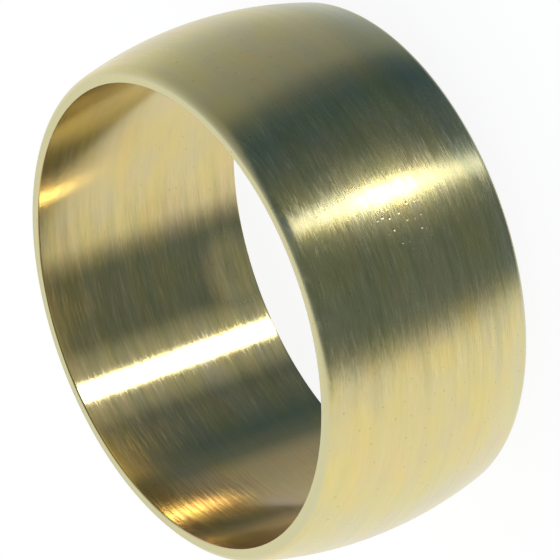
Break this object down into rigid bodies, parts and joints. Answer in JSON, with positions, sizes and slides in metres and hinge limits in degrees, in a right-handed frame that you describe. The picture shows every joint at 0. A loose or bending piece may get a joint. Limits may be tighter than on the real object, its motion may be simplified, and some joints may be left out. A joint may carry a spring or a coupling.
{
  "type": "compression olive",
  "caption": "Barrel-shaped brass ring with a plain bore; slides onto a tube and is squeezed between a fitting and its nut to seal the joint.",
  "frame": {"origin": "centre of the lower end face, on the bore's axis", "axes": "+Z along the bore's axis, from the end that the ring stands on to the other end; X and Y are across the ring"},
  "size_m": [0.017, 0.017, 0.0077],
  "materials": {
    "brass": "turned and lightly brushed around the ring, satin"
  },
  "bodies": {
    "root": {"olive": "brass"}
  },
  "joints": []
}
